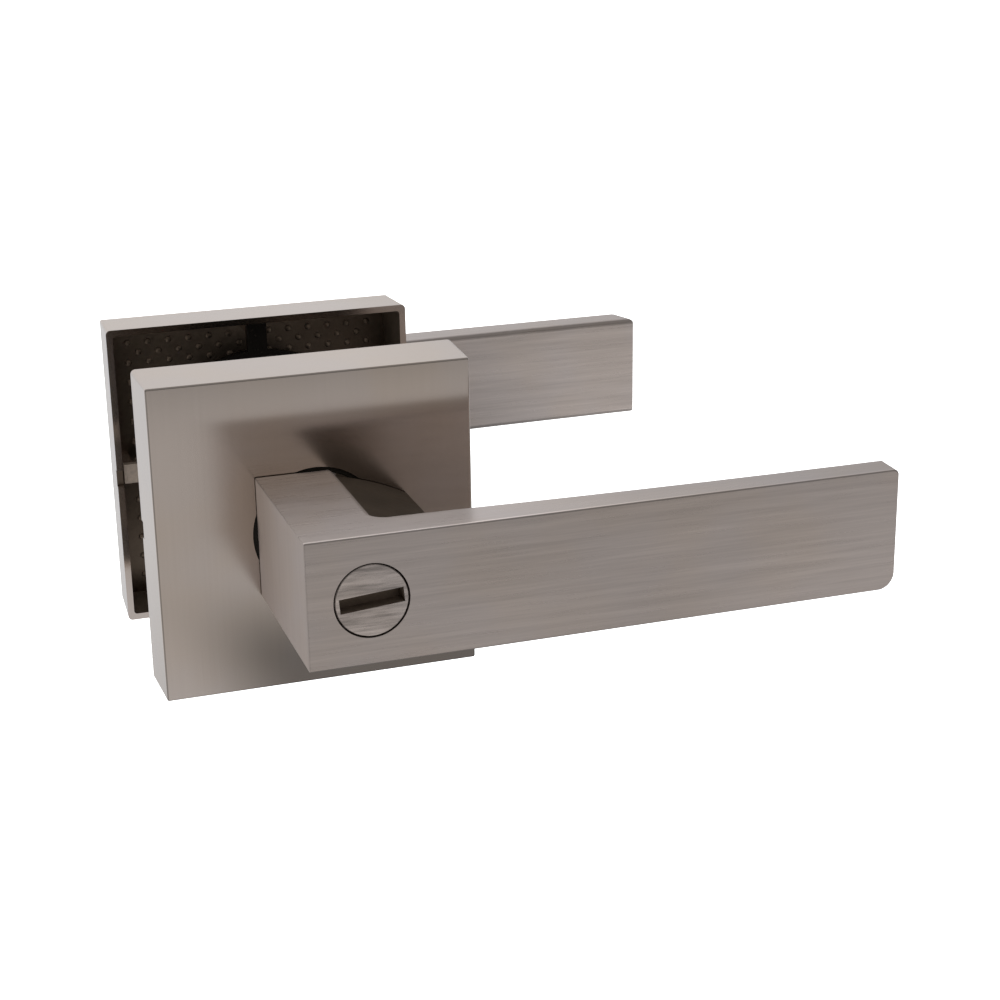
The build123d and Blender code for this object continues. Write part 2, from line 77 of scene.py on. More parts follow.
class Graph:
    """A node tree with short calls for the nodes that the finishes are made of."""

    def __init__(self, tree):
        self.tree = tree
        self.tree.nodes.clear()

    def add(self, kind, settings=None, **inputs):
        node = self.tree.nodes.new("ShaderNode" + kind)
        for key, value in (settings or {}).items():
            setattr(node, key, value)
        for key, value in inputs.items():
            self.feed(node.inputs[key.replace("_", " ")], value)
        return node

    def feed(self, socket, value):
        if isinstance(value, bpy.types.NodeSocket):
            self.tree.links.new(value, socket)
        elif socket.type == "RGBA":
            socket.default_value = (*value, 1.0)
        else:
            socket.default_value = value

    def chain(self, kind, settings, values):
        """A node fed by the order of its inputs, for nodes whose inputs share one name."""
        node = self.tree.nodes.new("ShaderNode" + kind)
        for key, value in settings.items():
            setattr(node, key, value)
        for place, value in enumerate(values):
            self.feed(node.inputs[place], value)
        return node

    def math(self, operation, *values):
        return self.chain("Math", {"operation": operation}, values).outputs[0]

    def vector(self, operation, *values):
        node = self.chain("VectorMath", {"operation": operation}, values)
        return node.outputs["Value" if operation == "DOT_PRODUCT" else "Vector"]

    def split(self, vector):
        return self.add("SeparateXYZ", Vector=vector).outputs

    def span(self, value, low, high, to_low=0.0, to_high=1.0, smooth=False):
        """A value mapped from low..high to to_low..to_high and clamped there."""
        kind = "SMOOTHSTEP" if smooth else "LINEAR"
        return self.chain("MapRange", {"interpolation_type": kind},
                          (value, low, high, to_low, to_high)).outputs["Result"]

    def blend(self, share, first, second):
        """first where share is 0 and second where it is 1, for two colours."""
        node = self.add("Mix", {"data_type": "RGBA"})
        self.feed(node.inputs[0], share)
        self.feed(node.inputs[6], first)
        self.feed(node.inputs[7], second)
        return node.outputs[2]

    def tint(self, colour, amount):
        """A colour made lighter or darker by a factor."""
        return self.vector("SCALE", colour, (0, 0, 0), (0, 0, 0), amount)

    def noise(self, place, scale, detail=2.0, rough=0.5):
        node = self.add("TexNoise", Vector=place, Scale=scale, Detail=detail, Roughness=rough)
        return node.outputs["Fac"]

    def place(self):
        """The point's place on the object in millimetres, which moves with the object."""
        object_point = self.add("TexCoord").outputs["Object"]
        return self.vector("SCALE", object_point, (0, 0, 0), (0, 0, 0), 1 / MM)

    def normal(self):
        """The surface's normal in the object's own frame."""
        world_normal = self.add("NewGeometry").outputs["Normal"]
        settings = {"vector_type": "NORMAL", "convert_from": "WORLD", "convert_to": "OBJECT"}
        return self.add("VectorTransform", settings, Vector=world_normal).outputs[0]

    def to_world(self, direction):
        settings = {"vector_type": "VECTOR", "convert_from": "OBJECT", "convert_to": "WORLD"}
        return self.add("VectorTransform", settings, Vector=direction).outputs[0]


def new_material(name):
    material = bpy.data.materials.new(name)
    material.use_nodes = True
    return material, Graph(material.node_tree)


def close(g, colour, roughness, metallic=1.0, height=None, height_mm=0.02, tangent=None, **numbers):
    """The shader that ends a finish. Numbers such as anisotropy go straight to its sockets."""
    shader = g.add("BsdfPrincipled", Roughness=roughness, Metallic=metallic)
    g.feed(shader.inputs["Base Color"], colour)
    for key, value in numbers.items():
        shader.inputs[key.replace("_", " ")].default_value = value
    if height is not None:
        bump = g.add("Bump", Height=height, Strength=1.0, Distance=height_mm * MM)
        g.feed(shader.inputs["Normal"], bump.outputs[0])
    if tangent is not None:
        g.feed(shader.inputs["Tangent"], tangent)
    output = g.add("OutputMaterial")
    g.feed(output.inputs["Surface"], shader.outputs[0])


# ---------------------------------------------------------------- brushed nickel

def stretched(g, point, along, across_mm, along_mm):
    """The point squeezed along the brushing, so that noise on it makes streaks."""
    scale = [1 / across_mm] * 3
    scale["XYZ".index(along)] = 1 / along_mm
    return g.vector("MULTIPLY", point, tuple(scale))


def streaks(g, point, first, second, share, across_mm, along_mm, detail=2.0):
    """Streak noise along one axis where share is 0, and along another where it is 1."""
    first_place = stretched(g, point, first, across_mm, along_mm)
    second_place = stretched(g, point, second, across_mm, along_mm)
    place = g.blend(share, first_place, second_place)
    return g.noise(place, 1.0, detail, 0.6)


def centred(g, value, amount):
    """A noise of 0..1 turned into -amount/2..amount/2."""
    return g.math("MULTIPLY", g.math("SUBTRACT", value, 0.5), amount)


# Shares of the streaks, clouds and grain in the nickel's lightness
FINE_SHARE = 0.22
BROAD_SHARE = 0.20
CLOUD_SHARE = 0.10
GRAIN_SHARE = 0.015
BROAD_TO_FINE = 3.2
OFF_FACE_SHARE = 0.35
MOST_RELIEF = 1.5
NICKEL_RELIEF_MM = 0.002

# Painted shade on the rounded edges, painted light on upward faces near the spindle, how much rougher
# the faces that point along side_axis are, and how much of the painted highlight is left far along X
EDGE_DARK = 0.45
TOP_LIGHT = 1.20
SIDE_ROUGHER = 0.10
FAR_HIGHLIGHT = 0.25

# Places along X in millimetres, and behind the lever's face, where the painted light on the top and the
# painted highlight on its edge change
TOP_FADE = (12.0, 55.0)
HIGHLIGHT_FADE = (25.0, 75.0)
STRIP_START = (0.12, 0.28)
STRIP_END = (0.45, 0.75)


def edge_shade(g, parts, upright_edge):
    """Painted shade: darkening of the rounded edges round the faces that point along Y."""
    facing = g.math("ABSOLUTE", parts[1])
    rim = g.math("MULTIPLY", g.span(facing, 0.30, 0.62, smooth=True),
                 g.span(facing, 0.93, 0.995, 1.0, 0.0, smooth=True))
    upright = g.span(g.math("ABSOLUTE", parts[0]), 0.15, 0.45)
    rim = g.math("MULTIPLY", rim, g.span(upright, 0.0, 1.0, EDGE_DARK, upright_edge))
    return g.math("SUBTRACT", 1.0, rim)


def top_shine(g, point, parts, light, edge_light):
    """Painted light that grows on upward faces near the spindle, and a painted highlight on the top
    edge by the lever's face.
    """
    x, y, z = g.split(point)
    back = g.math("SUBTRACT", LEVER_FACE, g.math("ABSOLUTE", y))
    strip = g.math("MULTIPLY", g.span(back, *STRIP_START), g.span(back, *STRIP_END, 1.0, 0.0))
    upward = g.span(parts[2], 0.5, 0.9)
    # Painted light: upward faces near the spindle are made lighter
    top_light = g.span(x, *TOP_FADE, TOP_LIGHT, 1.0)
    light = g.math("MULTIPLY", light, g.span(upward, 0.0, 1.0, 1.0, top_light))
    # Painted highlight along the top edge by the lever's face, fading along X
    crest = g.math("MULTIPLY", strip, upward)
    wear_and_sheen = g.span(x, *HIGHLIGHT_FADE, edge_light, FAR_HIGHLIGHT * edge_light)
    return g.math("ADD", light, g.math("MULTIPLY", crest, wear_and_sheen))


def satin_nickel(name, base, front, side_axis, side, roughness, anisotropy, contrast, line_width,
                 line_length, edge_light, upright_edge, raw, cast_inside):
    """Brushed satin nickel. front is the brushing's axis, and side the axis on the faces that point
    along side_axis. edge_light is the strength of the painted highlight on the top edge by the
    lever's face, upright_edge how much painted shade the upright edges get, and cast_inside makes
    the mask that takes the colour raw: the unfinished inside of a casting, and the lever's shoulder."""
    material, g = new_material(name)
    point = g.place()
    normal = g.normal()
    parts = g.split(normal)
    on_side = g.span(g.math("ABSOLUTE", parts["XYZ".index(side_axis)]), 0.68, 0.74)
    axes = {"X": X_AXIS, "Z": Z_AXIS}
    direction = g.to_world(g.blend(on_side, axes[front], axes[side]))
    world_normal = g.add("NewGeometry").outputs["Normal"]
    tangent = g.vector("NORMALIZE", g.vector("CROSS_PRODUCT", world_normal, direction))

    broad_width = line_width * BROAD_TO_FINE
    fine = streaks(g, point, front, side, on_side, line_width, line_width * line_length, 3.0)
    broad = streaks(g, point, front, side, on_side, broad_width, broad_width * line_length, 2.0)
    clouds = g.noise(point, 1 / 19.0, 2.0)
    grain = g.noise(point, 1 / 0.45, 2.0, 0.6)

    light = g.math("ADD", centred(g, fine, FINE_SHARE * contrast),
                   centred(g, broad, BROAD_SHARE * contrast))
    face_on = g.span(g.math("ABSOLUTE", parts[1]), 0.5, 0.9, OFF_FACE_SHARE, 1.0)
    light = g.math("MULTIPLY", light, face_on)
    light = g.math("ADD", light, centred(g, clouds, CLOUD_SHARE))
    light = g.math("ADD", light, centred(g, grain, GRAIN_SHARE))
    light = g.math("ADD", light, 1.0)
    # Painted shade on the rounded edges, then painted light on the top faces and a painted highlight on
    # the top edge
    light = g.math("MULTIPLY", light, edge_shade(g, parts, upright_edge))
    light = top_shine(g, point, parts, light, edge_light)
    warm = g.span(clouds, 0.35, 0.65, smooth=True)
    cooler = (base[0] * 0.975, base[1] * 0.995, base[2] * 1.03)
    colour = g.tint(g.blend(warm, base, cooler), light)
    rough = g.math("ADD", centred(g, fine, 0.10 * contrast), centred(g, clouds, 0.03))
    rough = g.math("ADD", rough, roughness)
    rough = g.math("ADD", rough, g.math("MULTIPLY", on_side, SIDE_ROUGHER))

    inside = cast_inside(g, point, normal)
    brushed = g.math("SUBTRACT", 1.0, inside)
    relief = g.math("MULTIPLY", brushed, min(contrast, MOST_RELIEF))
    height = g.math("MULTIPLY", g.math("ADD", fine, broad), relief)
    lumps = g.noise(point, 1 / 1.3, 4.0, 0.65)
    stain = g.noise(point, 1 / 7.0, 3.0, 0.6)
    cast = g.tint(raw, g.math("MULTIPLY", g.span(stain, 0.3, 0.7, 0.92, 1.10, smooth=True),
                              g.span(lumps, 0.25, 0.75, 0.8, 1.15)))
    colour = g.blend(inside, colour, cast)
    rough = g.math("ADD", g.math("MULTIPLY", rough, brushed),
                   g.math("MULTIPLY", g.span(lumps, 0.2, 0.8, 0.42, 0.58), inside))
    height = g.math("ADD", height, g.math("MULTIPLY", g.math("MULTIPLY", lumps, 12.0), inside))
    close(g, colour, rough, height=height, height_mm=NICKEL_RELIEF_MM, tangent=tangent,
          Anisotropic=anisotropy)
    return material


# Limits of the unfinished insides, in millimetres
MASK_MARGIN = 0.2
SLOT_REACH = 6.9
POCKET_REACH = 8.5
SHOULDER_START = (3.6, 4.2)
SHOULDER_HALF = (12.0, 12.4)


def inside_of_rosette(g, point, normal):
    """1 on the hidden side of a rosette's shell and in its hole, 0 on the finished outside."""
    x, y, z = g.split(point)
    nx, ny, nz = g.split(normal)
    outwards = g.math("ADD", g.math("MULTIPLY", x, nx), g.math("MULTIPLY", z, nz))
    inward_wall = g.math("LESS_THAN", outwards, -0.5)
    depth = g.math("ABSOLUTE", y)
    to_door = g.math("LESS_THAN", g.math("MULTIPLY", ny, g.math("SIGN", y)), -0.5)
    under_rim = g.math("GREATER_THAN", depth, RIM_DEPTH / MM + MASK_MARGIN)
    return g.math("MAXIMUM", inward_wall, g.math("MULTIPLY", to_door, under_rim))


def below_face(g, point, radius):
    """1 deeper than the levers' faces and within a radius of the spindle's axis, in millimetres."""
    x, y, z = g.split(point)
    out = g.math("SQRT", g.math("ADD", g.math("MULTIPLY", x, x), g.math("MULTIPLY", z, z)))
    deep = g.math("LESS_THAN", g.math("ABSOLUTE", y), LEVER_FACE - MASK_MARGIN)
    return g.math("MULTIPLY", deep, g.math("LESS_THAN", out, radius))


def inside_of_disc(g, point, normal):
    """1 in the coin slot and on the stem, and less where coins have scuffed the slot's upper wall."""
    upper_wall = g.span(g.split(normal)[2], -0.9, -0.5, 1.0, 0.0)
    rubbed_and_lit = g.span(g.noise(point, 1 / 2.2, 1.0), 0.42, 0.58, 0.15, 0.85, smooth=True)
    return g.math("MULTIPLY", below_face(g, point, SLOT_REACH),
                  g.math("SUBTRACT", 1.0, g.math("MULTIPLY", upper_wall, rubbed_and_lit)))


def inside_of_lever(g, point, normal):
    """1 in the pocket of the release disc and the bore behind it, and on the shoulder."""
    x, y, z = g.split(point)
    beside = g.span(x, *SHOULDER_START)
    behind = g.math("LESS_THAN", g.math("ABSOLUTE", y), HEEL_BACK)
    low = g.span(g.math("ABSOLUTE", z), *SHOULDER_HALF, 1.0, 0.0)
    # On the shoulder beside the neck the lever's dark raw colour paints the shade there
    shoulder = g.math("MULTIPLY", g.math("MULTIPLY", beside, behind), low)
    return g.math("MAXIMUM", below_face(g, point, POCKET_REACH), shoulder)


# ---------------------------------------------------------------- hidden parts' finishes

def zinc_plate():
    """Bright zinc plate: a faint blue and straw bloom over pressed steel."""
    material, g = new_material("zinc_plate")
    point = g.place()
    bloom = g.noise(point, 1 / 5.0, 3.0, 0.55)
    grain = g.noise(point, 1 / 0.35, 3.0, 0.6)
    scratches = g.noise(g.vector("MULTIPLY", point, (1 / 9.0, 1 / 0.5, 1 / 0.25)), 1.0, 2.0)
    colour = g.blend(g.span(bloom, 0.35, 0.65, smooth=True), (0.58, 0.57, 0.52),
                     (0.52, 0.56, 0.60))
    colour = g.tint(colour, g.span(grain, 0.25, 0.75, 0.90, 1.06))
    rough = g.math("ADD", g.span(bloom, 0.3, 0.7, 0.26, 0.40), centred(g, scratches, 0.14))
    close(g, colour, rough, height=g.math("ADD", grain, scratches), height_mm=0.006)
    return material


def turned_steel(name, base, roughness, pitch_mm):
    """Steel turned on a lathe about the spindle's axis, with fine circular tool marks."""
    material, g = new_material(name)
    point = g.place()
    x, y, z = g.split(point)
    radius = g.math("SQRT", g.math("ADD", g.math("MULTIPLY", x, x), g.math("MULTIPLY", z, z)))
    along = g.math("ADD", radius, g.math("ABSOLUTE", y))
    marks = g.math("SINE", g.math("MULTIPLY", along, 2 * math.pi / pitch_mm))
    film = g.noise(point, 1 / 3.0, 3.0, 0.6)
    colour = g.tint(base, g.math("ADD", g.span(film, 0.3, 0.7, 0.85, 1.08),
                                       g.math("MULTIPLY", marks, 0.03)))
    rough = g.math("ADD", g.span(film, 0.3, 0.7, roughness, roughness + 0.14),
                   g.math("MULTIPLY", marks, 0.02))
    close(g, colour, rough, height=marks, height_mm=0.006)
    return material


# Where along X, in millimetres, the painted light on the ends of the side tabs begins
LIT_TAB_END = (27.4, 28.0)


def black_oxide():
    """Blackened steel, with painted light on the ends of the mounting plate's side tabs."""
    material, g = new_material("black_oxide")
    point = g.place()
    rub = g.noise(point, 1 / 1.4, 4.0, 0.65)
    wear_and_sheen = g.span(rub, 0.58, 0.72, smooth=True)
    colour = g.blend(wear_and_sheen, (0.018, 0.015, 0.013), (0.055, 0.045, 0.038))
    x, y, z = g.split(point)
    # Painted light: the ends of the side tabs get a pale colour, as on a lit plate
    lit_tab_end = g.span(g.math("ABSOLUTE", x), *LIT_TAB_END)
    rubbed_and_lit = g.tint((0.68, 0.57, 0.48), g.span(rub, 0.3, 0.7, 0.8, 1.1))
    colour = g.blend(lit_tab_end, colour, rubbed_and_lit)
    close(g, colour, g.span(rub, 0.3, 0.7, 0.50, 0.38), metallic=0.85, height=rub, height_mm=0.01,
          Specular_IOR_Level=0.2)
    return material


def nylon(name, base, roughness, scatter, shine):
    """Moulded nylon with a fine spark-eroded grain."""
    material, g = new_material(name)
    point = g.place()
    grain = g.noise(point, 1 / 0.28, 3.0, 0.6)
    flow = g.noise(point, 1 / 6.0, 2.0)
    colour = g.tint(base, g.span(flow, 0.3, 0.7, 0.90, 1.08))
    rough = g.span(grain, 0.25, 0.75, roughness - 0.05, roughness + 0.08)
    close(g, colour, rough, metallic=0.0, height=grain, height_mm=0.012,
          Subsurface_Weight=scatter, Subsurface_Scale=0.6 * MM, Specular_IOR_Level=shine)
    return material


def floor_paint(name, grey):
    """Matt pale studio floor with a very faint mottle, lit a little from below like a light table."""
    material, g = new_material(name)
    mottle = g.noise(g.place(), 1 / 60.0, 3.0)
    colour = g.tint((grey, grey, grey), g.span(mottle, 0.3, 0.7, 0.99, 1.01))
    close(g, colour, 0.9, metallic=0.0, Specular_IOR_Level=0.0,
          Emission_Color=(1.0, 1.0, 1.0, 1.0), Emission_Strength=FLOOR_GLOW)
    return material


# ---------------------------------------------------------------- pieces

def new_piece(name, mesh_maker, material, body):
    """A mesh piece that rides on a CAD body. mesh_maker fills a bmesh in the row frame."""
    mesh = bpy.data.meshes.new(name)
    shape = bmesh.new()
    mesh_maker(shape)
    bmesh.ops.recalc_face_normals(shape, faces=shape.faces)
    shape.to_mesh(mesh)
    shape.free()
    mesh.materials.append(material)
    mesh.shade_smooth()
    piece = bpy.data.objects.new(name, mesh)
    scene.collection.objects.link(piece)
    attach(piece, body)
    return piece


# The staggered pips cast on the hidden floor of each rosette
PIP_PITCH = 4.6 * MM
PIP_ROW = 2.3 * MM
PIP_RADIUS = 0.75 * MM
PIP_HEIGHT = 0.22 * MM
PIP_MARGIN = 4.0 * MM
PIP_SIDES = 10
PIP_RINGS = 3
LEDGE_START = 29.4 * MM
LEDGE_HALF = 2.2 * MM


def add_pip(shape, x, y, z, towards_door):
    """One low dome that stands on the plane at y."""
    rings = []
    for level in range(PIP_RINGS):
        angle = level / PIP_RINGS * math.pi / 2
        radius = PIP_RADIUS * math.cos(angle)
        height = towards_door * PIP_HEIGHT * math.sin(angle)
        rings.append([
            shape.verts.new((x + radius * math.cos(turn), y + height, z + radius * math.sin(turn)))
            for turn in (2 * math.pi * side / PIP_SIDES for side in range(PIP_SIDES))
        ])
    top = shape.verts.new((x, y + towards_door * PIP_HEIGHT, z))
    for lower, upper in zip(rings, rings[1:]):
        for side in range(PIP_SIDES):
            after = (side + 1) % PIP_SIDES
            shape.faces.new((lower[side], lower[after], upper[after], upper[side]))
    for side in range(PIP_SIDES):
        shape.faces.new((rings[-1][side], rings[-1][(side + 1) % PIP_SIDES], top))
    shape.faces.new(rings[0])


def rosette_pips(name, door_side, material):
    """The pips on the floor of one rosette. door_side is +1 for the inside half, -1 for the outside."""
    reach = ROSETTE_HALF - PIP_MARGIN
    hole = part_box("inner_rosette_liner")[1].x + PIP_RADIUS
    ledge_start = LEDGE_START - PIP_RADIUS
    ledge_half = LEDGE_HALF + PIP_RADIUS

    def fill(shape):
        rows = int(reach / PIP_ROW)
        columns = int(reach / PIP_PITCH) + 1
        for row in range(-rows, rows + 1):
            z = row * PIP_ROW
            for column in range(-columns, columns + 1):
                x = (column + 0.5 * (row % 2)) * PIP_PITCH
                far, near = max(abs(x), abs(z)), min(abs(x), abs(z))
                on_ledge = far > ledge_start and near < ledge_half
                if far < reach and math.hypot(x, z) > hole and not on_ledge:
                    add_pip(shape, x, door_side * ROSETTE_FLOOR, z, -door_side)

    return new_piece(name, fill, material, "trim")


# Threads of the through bolts, where they cross the door's bolt holes
THREAD_PITCH = 0.7 * MM
THREAD_HEIGHT = 0.16 * MM
THREAD_STEPS = 20
THREAD_ROOT = 1.94 * MM
WASHER_RADIUS = 3.7 * MM
# Points of the thread's section: share of the pitch along the bolt, and share of the height
THREAD_SECTION = ((-0.42, 0.0), (-0.08, 1.0), (0.08, 1.0), (0.42, 0.0))


def bolt_threads(material):
    """Helical ridges on both through bolts, from the posts' ends to the inside plate."""
    post_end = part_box("bolt_posts")[1].y
    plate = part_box("inner_mounting_plate")[0].y
    bolt_x = (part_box("bolt_washers")[1].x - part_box("bolt_washers")[0].x) / 2 - WASHER_RADIUS
    start = post_end - THREAD_PITCH
    turns = (plate + THREAD_PITCH - start) / THREAD_PITCH

    def fill(shape):
        for bolt in (-bolt_x, bolt_x):
            before = None
            for step in range(int(turns * THREAD_STEPS) + 1):
                angle = 2 * math.pi * step / THREAD_STEPS
                y = start + THREAD_PITCH * step / THREAD_STEPS
                out = Vector((math.cos(angle), 0, math.sin(angle)))
                profile = []
                for along, share in THREAD_SECTION:
                    radius = THREAD_ROOT + share * THREAD_HEIGHT
                    point = out * radius + Vector((bolt, y + along * THREAD_PITCH, 0))
                    profile.append(shape.verts.new(point))
                if before:
                    for k in range(3):
                        shape.faces.new((before[k], before[k + 1], profile[k + 1], profile[k]))
                    shape.faces.new((before[3], before[0], profile[0], profile[3]))
                else:
                    shape.faces.new(profile)
                before = profile
            shape.faces.new(before)

    return new_piece("bolt_threads", fill, material, "trim")


# ---------------------------------------------------------------- finishes on the parts

LEVER_NICKEL = (0.535, 0.462, 0.418)
ROSETTE_NICKEL = (0.545, 0.465, 0.405)

# The lever's raw cast colour for the pocket and bore, darkened so that on the shoulder it is painted
# shade
LEVER_RAW_AND_SHADE = (0.092, 0.070, 0.052)
DISC_RAW = (0.20, 0.155, 0.12)
# The rosettes' raw cast colour, darkened with painted shade for the inside of the shell
ROSETTE_RAW_AND_SHADE = (0.215, 0.165, 0.125)
# Lighter than the rosettes' raw colour: painted light on the pips' tops
PIP_RAW_AND_LIGHT = (0.29, 0.225, 0.17)

lever_finish = satin_nickel("lever_nickel", LEVER_NICKEL, "X", "X", "Z", roughness=0.30,
                            anisotropy=0.9, contrast=1.8, line_width=0.45, line_length=32.0,
                            edge_light=0.75, upright_edge=0.12,
                            raw=LEVER_RAW_AND_SHADE, cast_inside=inside_of_lever)
disc_finish = satin_nickel("disc_nickel", LEVER_NICKEL, "X", "X", "Z", roughness=0.29,
                           anisotropy=0.82, contrast=7.5, line_width=0.42, line_length=13.0,
                           edge_light=0.0, upright_edge=EDGE_DARK,
                           raw=DISC_RAW, cast_inside=inside_of_disc)
rosette_finish = satin_nickel("rosette_nickel", ROSETTE_NICKEL, "Z", "Z", "X", roughness=0.15,
                              anisotropy=0.8, contrast=0.22, line_width=0.28, line_length=60.0,
                              edge_light=0.0, upright_edge=EDGE_DARK,
                              raw=ROSETTE_RAW_AND_SHADE, cast_inside=inside_of_rosette)
pip_finish = satin_nickel("pip_nickel", ROSETTE_NICKEL, "Z", "Z", "X", roughness=0.3,
                          anisotropy=0.0, contrast=0.22, line_width=0.28, line_length=60.0,
                          edge_light=0.0, upright_edge=EDGE_DARK,
                          raw=PIP_RAW_AND_LIGHT, cast_inside=inside_of_rosette)
zinc_finish = zinc_plate()
hub_finish = turned_steel("drive_steel", (0.40, 0.385, 0.37), roughness=0.28, pitch_mm=0.22)
spring_finish = turned_steel("spring_steel", (0.26, 0.26, 0.27), roughness=0.25, pitch_mm=0.05)
oxide_finish = black_oxide()
black_finish = nylon("black_nylon", (0.010, 0.008, 0.006), roughness=0.50, scatter=0.0, shine=0.12)
white_finish = nylon("white_nylon", (0.78, 0.765, 0.70), roughness=0.38, scatter=0.3, shine=0.5)

SLOT_FINISH = {
    "zinc_plate": zinc_finish,
    "drive_steel": hub_finish,
    "spring_steel": spring_finish,
    "black_oxide": oxide_finish,
    "black_nylon": black_finish,
    "white_nylon": white_finish,
}
NICKEL_FINISH = {
    "outer_rosette": rosette_finish,
    "inner_rosette": rosette_finish,
    "outer_lever": lever_finish,
    "inner_lever": lever_finish,
    "release_disc": disc_finish,
    "thumb_turn": disc_finish,
}
for subpart in frame["record"]["subparts"]:
    name = subpart["node"]
    finish = NICKEL_FINISH.get(name) or SLOT_FINISH[subpart["material_slot"]]
    nodes[name].data.materials.clear()
    nodes[name].data.materials.append(finish)

rosette_pips("outer_rosette_pips", -1, pip_finish)
rosette_pips("inner_rosette_pips", 1, pip_finish)
bolt_threads(zinc_finish)


# ---------------------------------------------------------------- studio

FLOOR_REACH = 6.0
FLOOR_GAP = 1.0 * MM
LEVER_SWING = math.radians(45.0)
BACKDROP_RADIUS = 5.5
BACKDROP_HEIGHT = 5.0
BACKDROP_SIDES = 96
FLOOR_GREY = 0.93
FLOOR_GLOW = 0.74
CARD_DROP = 0.1 * MM

# Brightness of the mirrored floor, and the places in millimetres where it changes
FRONT_TINT = (1.0, 0.995, 0.99)
BACK_TINT = (0.95, 0.97, 1.0)
FRONT_FLOOR = 0.60
RIGHT_FLOOR = 1.22
BACK_FLOOR = 0.84
FAR_FLOOR = 0.10
UNDER_SHADE = 0.66
FRONT_TO_BACK = (-120.0, 90.0)
TINT_CHANGE = (-150.0, 60.0)
FAR_FRONT = (-420.0, -205.0)
RIGHT_START = (75.0, 130.0)
RIGHT_NEAR = (-165.0, -125.0)
SHADE_LEFT = (-30.0, -4.0)
SHADE_RIGHT = (62.0, 115.0)
SHADE_FRONT = (-105.0, -45.0)
SHADE_BACK = (30.0, 110.0)

# Brightness of the sky, and the parts of its direction between which it changes
SKY_RIGHT_SHARE = 0.68
SKY_BACK = 0.90
SKY_FRONT_LOW = 0.24
SKY_FRONT_HIGH = 0.55
SKY_TOP = 0.57
SKY_BELOW = 0.52
FRONT_RISE = (0.15, 0.65)
BEHIND_START = (-0.35, 0.45)
RIGHT_TURN = (0.28, 0.55)
OVERHEAD_START = (0.72, 0.9)
BELOW_END = (-0.06, -0.02)


def stage_piece(name, points, faces, material):
    mesh = bpy.data.meshes.new(name)
    mesh.from_pydata(points, [], faces)
    mesh.materials.append(material)
    mesh.shade_smooth()
    piece = bpy.data.objects.new(name, mesh)
    scene.collection.objects.link(piece)
    return piece


def floor_plane(name, z, material):
    far = FLOOR_REACH
    points = [(-far, -far, z), (far, -far, z), (far, far, z), (-far, far, z)]
    return stage_piece(name, points, [(0, 1, 2, 3)], material)


def backdrop(z, material):
    """White wall all round, far behind the floor's middle, that only the camera sees."""
    points = []
    for side in range(BACKDROP_SIDES):
        angle = 2 * math.pi * side / BACKDROP_SIDES
        x, y = BACKDROP_RADIUS * math.cos(angle), BACKDROP_RADIUS * math.sin(angle)
        points += [(x, y, z), (x, y, z + BACKDROP_HEIGHT)]
    count = len(points)
    faces = [(k, (k + 2) % count, (k + 3) % count, k + 1) for k in range(0, count, 2)]
    return stage_piece("backdrop", points, faces, material)


def card_light():
    """What the metal mirrors below the horizon: a bright floor behind, a dimmer one in front, and
    the shade under the object."""
    material, g = new_material("floor_card")
    point = g.place()
    x, y, z = g.split(point)
    mottle = g.noise(point, 1 / 60.0, 3.0)
    level = g.span(y, *FRONT_TO_BACK, FRONT_FLOOR, BACK_FLOOR, smooth=True)
    right = g.math("MULTIPLY", g.span(x, *RIGHT_START), g.span(y, *RIGHT_NEAR, smooth=True))
    level = g.math("MULTIPLY", level, g.span(right, 0.0, 1.0, 1.0, RIGHT_FLOOR))
    far = g.span(y, *FAR_FRONT, FAR_FLOOR / FRONT_FLOOR, 1.0, smooth=True)
    level = g.math("MULTIPLY", level, far)
    under_x = g.math("MULTIPLY", g.span(x, *SHADE_LEFT, smooth=True),
                     g.span(x, *SHADE_RIGHT, 1.0, 0.0, smooth=True))
    under_y = g.math("MULTIPLY", g.span(y, *SHADE_FRONT, smooth=True),
                     g.span(y, *SHADE_BACK, 1.0, 0.0, smooth=True))
    shade = g.math("MULTIPLY", g.math("MULTIPLY", under_x, under_y), UNDER_SHADE)
    level = g.math("MULTIPLY", level, g.math("SUBTRACT", 1.0, shade))
    level = g.math("MULTIPLY", level, g.span(mottle, 0.3, 0.7, 0.99, 1.01))
    share = g.span(y, *TINT_CHANGE, smooth=True)
    glow = g.add("Emission", Strength=level)
    g.feed(glow.inputs["Color"], g.blend(share, FRONT_TINT, BACK_TINT))
    g.feed(g.add("OutputMaterial").inputs["Surface"], glow.outputs[0])
    return material


def wall_paint():
    """Evenly lit white wall, with a very faint mottle."""
    material, g = new_material("wall_paint")
    mottle = g.noise(g.place(), 1 / 300.0, 3.0)
    glow = g.add("Emission", Color=(1.0, 1.0, 1.0), Strength=g.span(mottle, 0.3, 0.7, 1.02, 1.04))
    g.feed(g.add("OutputMaterial").inputs["Surface"], glow.outputs[0])
    return material


def studio():
    """White floor and wall that the camera sees, and dimmer cards that only the metal mirrors.
    The floor is low enough for the levers' tips when they are pressed down."""
    lever_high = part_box("outer_lever")[1]
    floor_level = -(lever_high.x + lever_high.z) * math.sin(LEVER_SWING) - FLOOR_GAP
    seen = floor_plane("floor", floor_level, floor_paint("floor_paint", FLOOR_GREY))
    seen.visible_glossy = False
    wall = backdrop(floor_level, wall_paint())
    wall.visible_glossy = False
    wall.visible_diffuse = False
    wall.visible_shadow = False
    wall.visible_transmission = False
    mirrored = floor_plane("floor_in_reflections", cad_low.z - CARD_DROP, card_light())
    mirrored.visible_camera = False
    mirrored.visible_diffuse = False
    mirrored.visible_shadow = False
    mirrored.visible_transmission = False


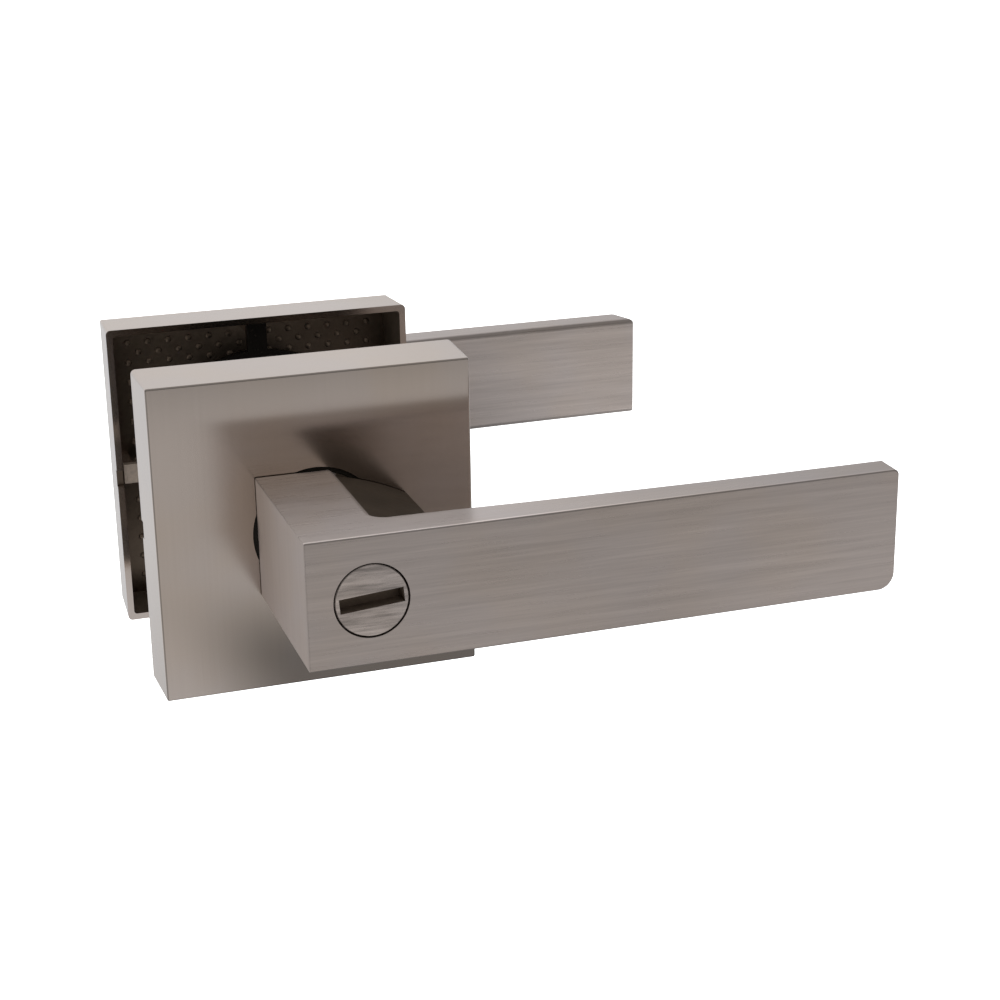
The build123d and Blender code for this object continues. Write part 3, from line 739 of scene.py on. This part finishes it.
def sky():
    """Soft light from all round: bright and cool behind, dim in front at eye level and overhead.
    Only a lever turned down below the mirrored floor sees the part below the horizon."""
    world = bpy.data.worlds.new("studio")
    scene.world = world
    world.use_nodes = True
    g = Graph(world.node_tree)
    x, y, z = g.split(g.add("TexCoord").outputs["Generated"])
    front_level = g.span(z, *FRONT_RISE, SKY_FRONT_LOW, SKY_FRONT_HIGH, smooth=True)
    behind = g.span(y, *BEHIND_START, smooth=True)
    to_right = g.span(x, *RIGHT_TURN, 1.0, SKY_RIGHT_SHARE, smooth=True)
    level = g.math("ADD", g.math("MULTIPLY", behind, g.math("MULTIPLY", to_right, SKY_BACK)),
                   g.math("MULTIPLY", g.math("SUBTRACT", 1.0, behind), front_level))
    overhead = g.span(z, *OVERHEAD_START, smooth=True)
    level = g.math("ADD", g.math("MULTIPLY", g.math("SUBTRACT", 1.0, overhead), level),
                   g.math("MULTIPLY", overhead, SKY_TOP))
    below = g.span(z, *BELOW_END, 1.0, 0.0)
    level = g.math("ADD", g.math("MULTIPLY", g.math("SUBTRACT", 1.0, below), level),
                   g.math("MULTIPLY", below, SKY_BELOW))
    background = g.add("Background", Strength=level)
    g.feed(background.inputs["Color"], g.blend(behind, FRONT_TINT, BACK_TINT))
    output = g.add("OutputWorld")
    g.feed(output.inputs["Surface"], background.outputs[0])


SUN_STRENGTH = 2.0
SUN_WIDTH = math.radians(120)


def floor_light():
    """Very wide soft light from above that whitens the floor and stays out of the reflections."""
    light = bpy.data.lights.new("floor_light", "SUN")
    light.energy = SUN_STRENGTH
    light.angle = SUN_WIDTH
    lamp = bpy.data.objects.new("floor_light", light)
    lamp.location = (0.0, 0.0, 1.0)
    scene.collection.objects.link(lamp)
    lamp.visible_glossy = False


studio()
sky()
floor_light()

# Camera: 71 mm lens, in front of the outside half, to its left and above it, rolled by a degree
CAMERA_PLACE = Vector((-84.8, -403.4, 133.9)) * MM
CAMERA_YAW = math.radians(18.45)
CAMERA_PITCH = math.radians(-18.64)
CAMERA_ROLL = math.radians(-0.91)
CAMERA_LENS = 70.88
SENSOR_WIDTH = 36.0
CLIP_START = 0.01
CLIP_END = 50.0


def camera():
    data = bpy.data.cameras.new("camera")
    data.lens = CAMERA_LENS
    data.sensor_width = SENSOR_WIDTH
    data.clip_start = CLIP_START
    data.clip_end = CLIP_END
    eye = bpy.data.objects.new("camera", data)
    scene.collection.objects.link(eye)
    ahead = Vector((math.sin(CAMERA_YAW) * math.cos(CAMERA_PITCH),
                    math.cos(CAMERA_YAW) * math.cos(CAMERA_PITCH), math.sin(CAMERA_PITCH)))
    level = ahead.cross(Vector(Z_AXIS)).normalized()
    upright = level.cross(ahead)
    right = level * math.cos(CAMERA_ROLL) + upright * math.sin(CAMERA_ROLL)
    up = upright * math.cos(CAMERA_ROLL) - level * math.sin(CAMERA_ROLL)
    turn = Matrix((right, up, -ahead)).transposed()
    eye.matrix_world = Matrix.Translation(CAMERA_PLACE) @ turn.to_4x4()
    return eye


scene.camera = camera()
scene.view_settings.view_transform = "Standard"
